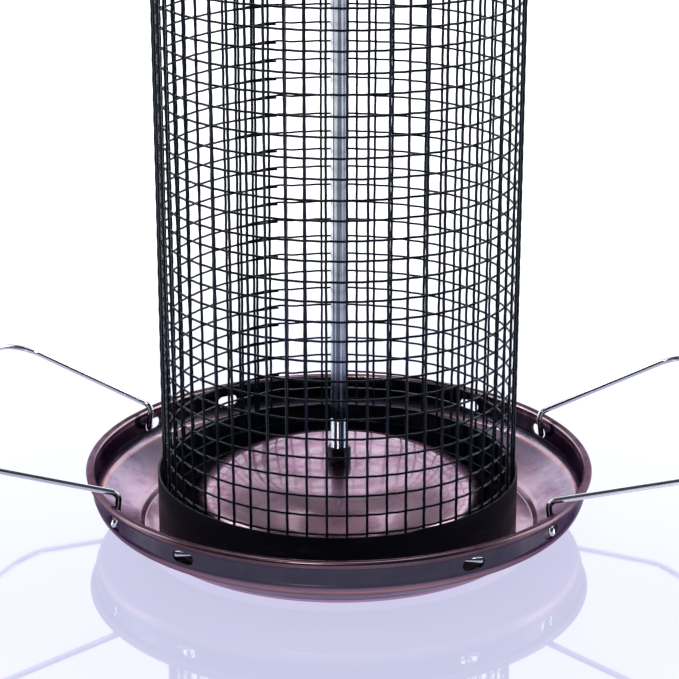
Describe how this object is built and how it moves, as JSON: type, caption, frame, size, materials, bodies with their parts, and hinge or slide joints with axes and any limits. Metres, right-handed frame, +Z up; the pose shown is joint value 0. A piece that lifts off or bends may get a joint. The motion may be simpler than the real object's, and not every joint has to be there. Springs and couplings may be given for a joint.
{
  "type": "tray and mesh bird feeder",
  "caption": "Bird feeder: a round copper tray with two flip-up wire perches, a black wire-mesh tube on a centre rod, and a lift-up copper lid with a hanging ring.",
  "frame": {"origin": "on the tube's axis at the level of the surface the tray stands on", "axes": "+Z up along the centre rod; +X towards the right-hand perch; -Y is the front"},
  "size_m": [0.2844, 0.1698, 0.3812],
  "materials": {
    "copper": "antique copper plated sheet, lacquered, spun and brushed",
    "black_wire": "black dipped wire, satin",
    "black_band": "black powder coat, satin",
    "bright_steel": "polished steel",
    "black_fitting": "black oxide steel",
    "zinc_steel": "zinc plated steel",
    "black_plastic": "moulded black plastic",
    "brass": "turned brass"
  },
  "bodies": {
    "feeder": {"tray": "copper", "base_band": "black_band", "top_band": "black_band", "mesh_uprights": "black_wire", "mesh_hoops": "black_wire", "base_band_rivets": "black_fitting", "top_band_rivets": "black_fitting", "centre_rod": "bright_steel", "foot_washer": "black_fitting", "foot_nut": "black_fitting", "tray_washer": "zinc_steel", "tray_nut": "zinc_steel", "front_stay": "bright_steel", "eye_nut": "black_fitting"},
    "right_perch": {"right_perch": "bright_steel"},
    "left_perch": {"left_perch": "bright_steel"},
    "lid": {"lid": "copper", "lid_locating_ring": "copper", "lid_bush": "brass"},
    "lid_knob": {"lid_knob": "black_plastic", "knob_insert": "brass"},
    "hanging_ring": {"hanging_ring": "bright_steel"}
  },
  "joints": [
    {"name": "right_perch_fold", "type": "hinge", "parent": "feeder", "child": "right_perch", "pos_m": [0.0698, 0, 0.016], "axis": [0, -1, 0], "range_deg": [0, 72]},
    {"name": "left_perch_fold", "type": "hinge", "parent": "feeder", "child": "left_perch", "pos_m": [-0.0698, 0, 0.016], "axis": [0, 1, 0], "range_deg": [0, 72]},
    {"name": "lid_lift", "type": "slide", "parent": "feeder", "child": "lid", "axis": [0, 0, 1], "range_m": [0, 0.04]},
    {"name": "knob_turn", "type": "hinge", "parent": "lid", "child": "lid_knob", "pos_m": [0, 0, 0.29], "axis": [0, 0, 1], "continuous": true},
    {"name": "ring_swing", "type": "hinge", "parent": "feeder", "child": "hanging_ring", "pos_m": [0, 0, 0.375], "axis": [0, -1, 0], "range_deg": [0, 342]}
  ]
}
